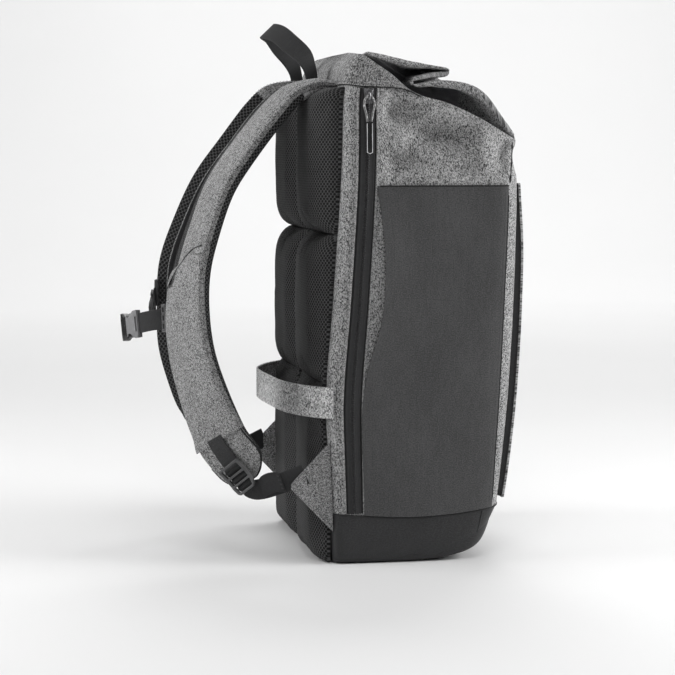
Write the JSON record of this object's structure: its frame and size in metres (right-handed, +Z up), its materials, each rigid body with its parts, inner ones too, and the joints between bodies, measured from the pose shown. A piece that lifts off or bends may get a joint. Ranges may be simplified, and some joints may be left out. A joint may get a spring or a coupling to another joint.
{
  "type": "roll-top backpack",
  "caption": "Soft backpack with a roll-top closure, coated base and side pockets, side zip, padded mesh back, shoulder straps and a trolley band.",
  "frame": {"origin": "on the ground under the base, midway between the sides", "axes": "+Z up, the back panel that lies against the wearer faces +Y, the front pocket faces -Y, the wearer's left is at -X"},
  "size_m": [0.3027, 0.3796, 0.5182],
  "materials": {
    "heather_cloth": "woven grey melange",
    "coated_cloth": "satin coating",
    "air_mesh": "matt spacer mesh",
    "webbing": "ribbed weave",
    "zip": "woven tape with moulded coil",
    "buckle_plastic": "fine moulded texture",
    "grip_plastic": "glossy",
    "slider_metal": "dark plated",
    "pull_cord": "braided, with light flecks"
  },
  "bodies": {
    "root": {"body_shell": "heather_cloth", "base_tray": "coated_cloth", "roll_top": "heather_cloth", "side_panel_left": "coated_cloth", "side_panel_right": "coated_cloth", "pocket_gusset": "zip", "pocket_face": "heather_cloth", "zip_tape": "zip", "zip_chain": "zip", "zip_slider": "slider_metal", "zip_cord": "pull_cord", "zip_grip": "grip_plastic", "pad_upper_left": "air_mesh", "pad_upper_right": "air_mesh", "pad_middle_left": "air_mesh", "pad_middle_right": "air_mesh", "pad_lower_left": "air_mesh", "pad_lower_right": "air_mesh", "handle": "webbing", "trolley_band": "heather_cloth", "strap_pad_left": "air_mesh", "strap_pad_right": "air_mesh", "strap_cover_left": "heather_cloth", "strap_cover_right": "heather_cloth", "strap_pocket": "heather_cloth", "wing_left": "heather_cloth", "wing_right": "heather_cloth", "ladder_buckle_left": "buckle_plastic", "ladder_buckle_right": "buckle_plastic", "lower_web_left": "webbing", "lower_web_right": "webbing", "web_tail_left": "webbing", "web_tail_right": "webbing", "upper_web_left": "webbing", "upper_web_right": "webbing", "chest_slider_left": "buckle_plastic", "chest_slider_right": "buckle_plastic", "chest_web_left": "webbing", "chest_web_right": "webbing", "chest_socket": "buckle_plastic", "chest_plug": "buckle_plastic"}
  },
  "joints": []
}
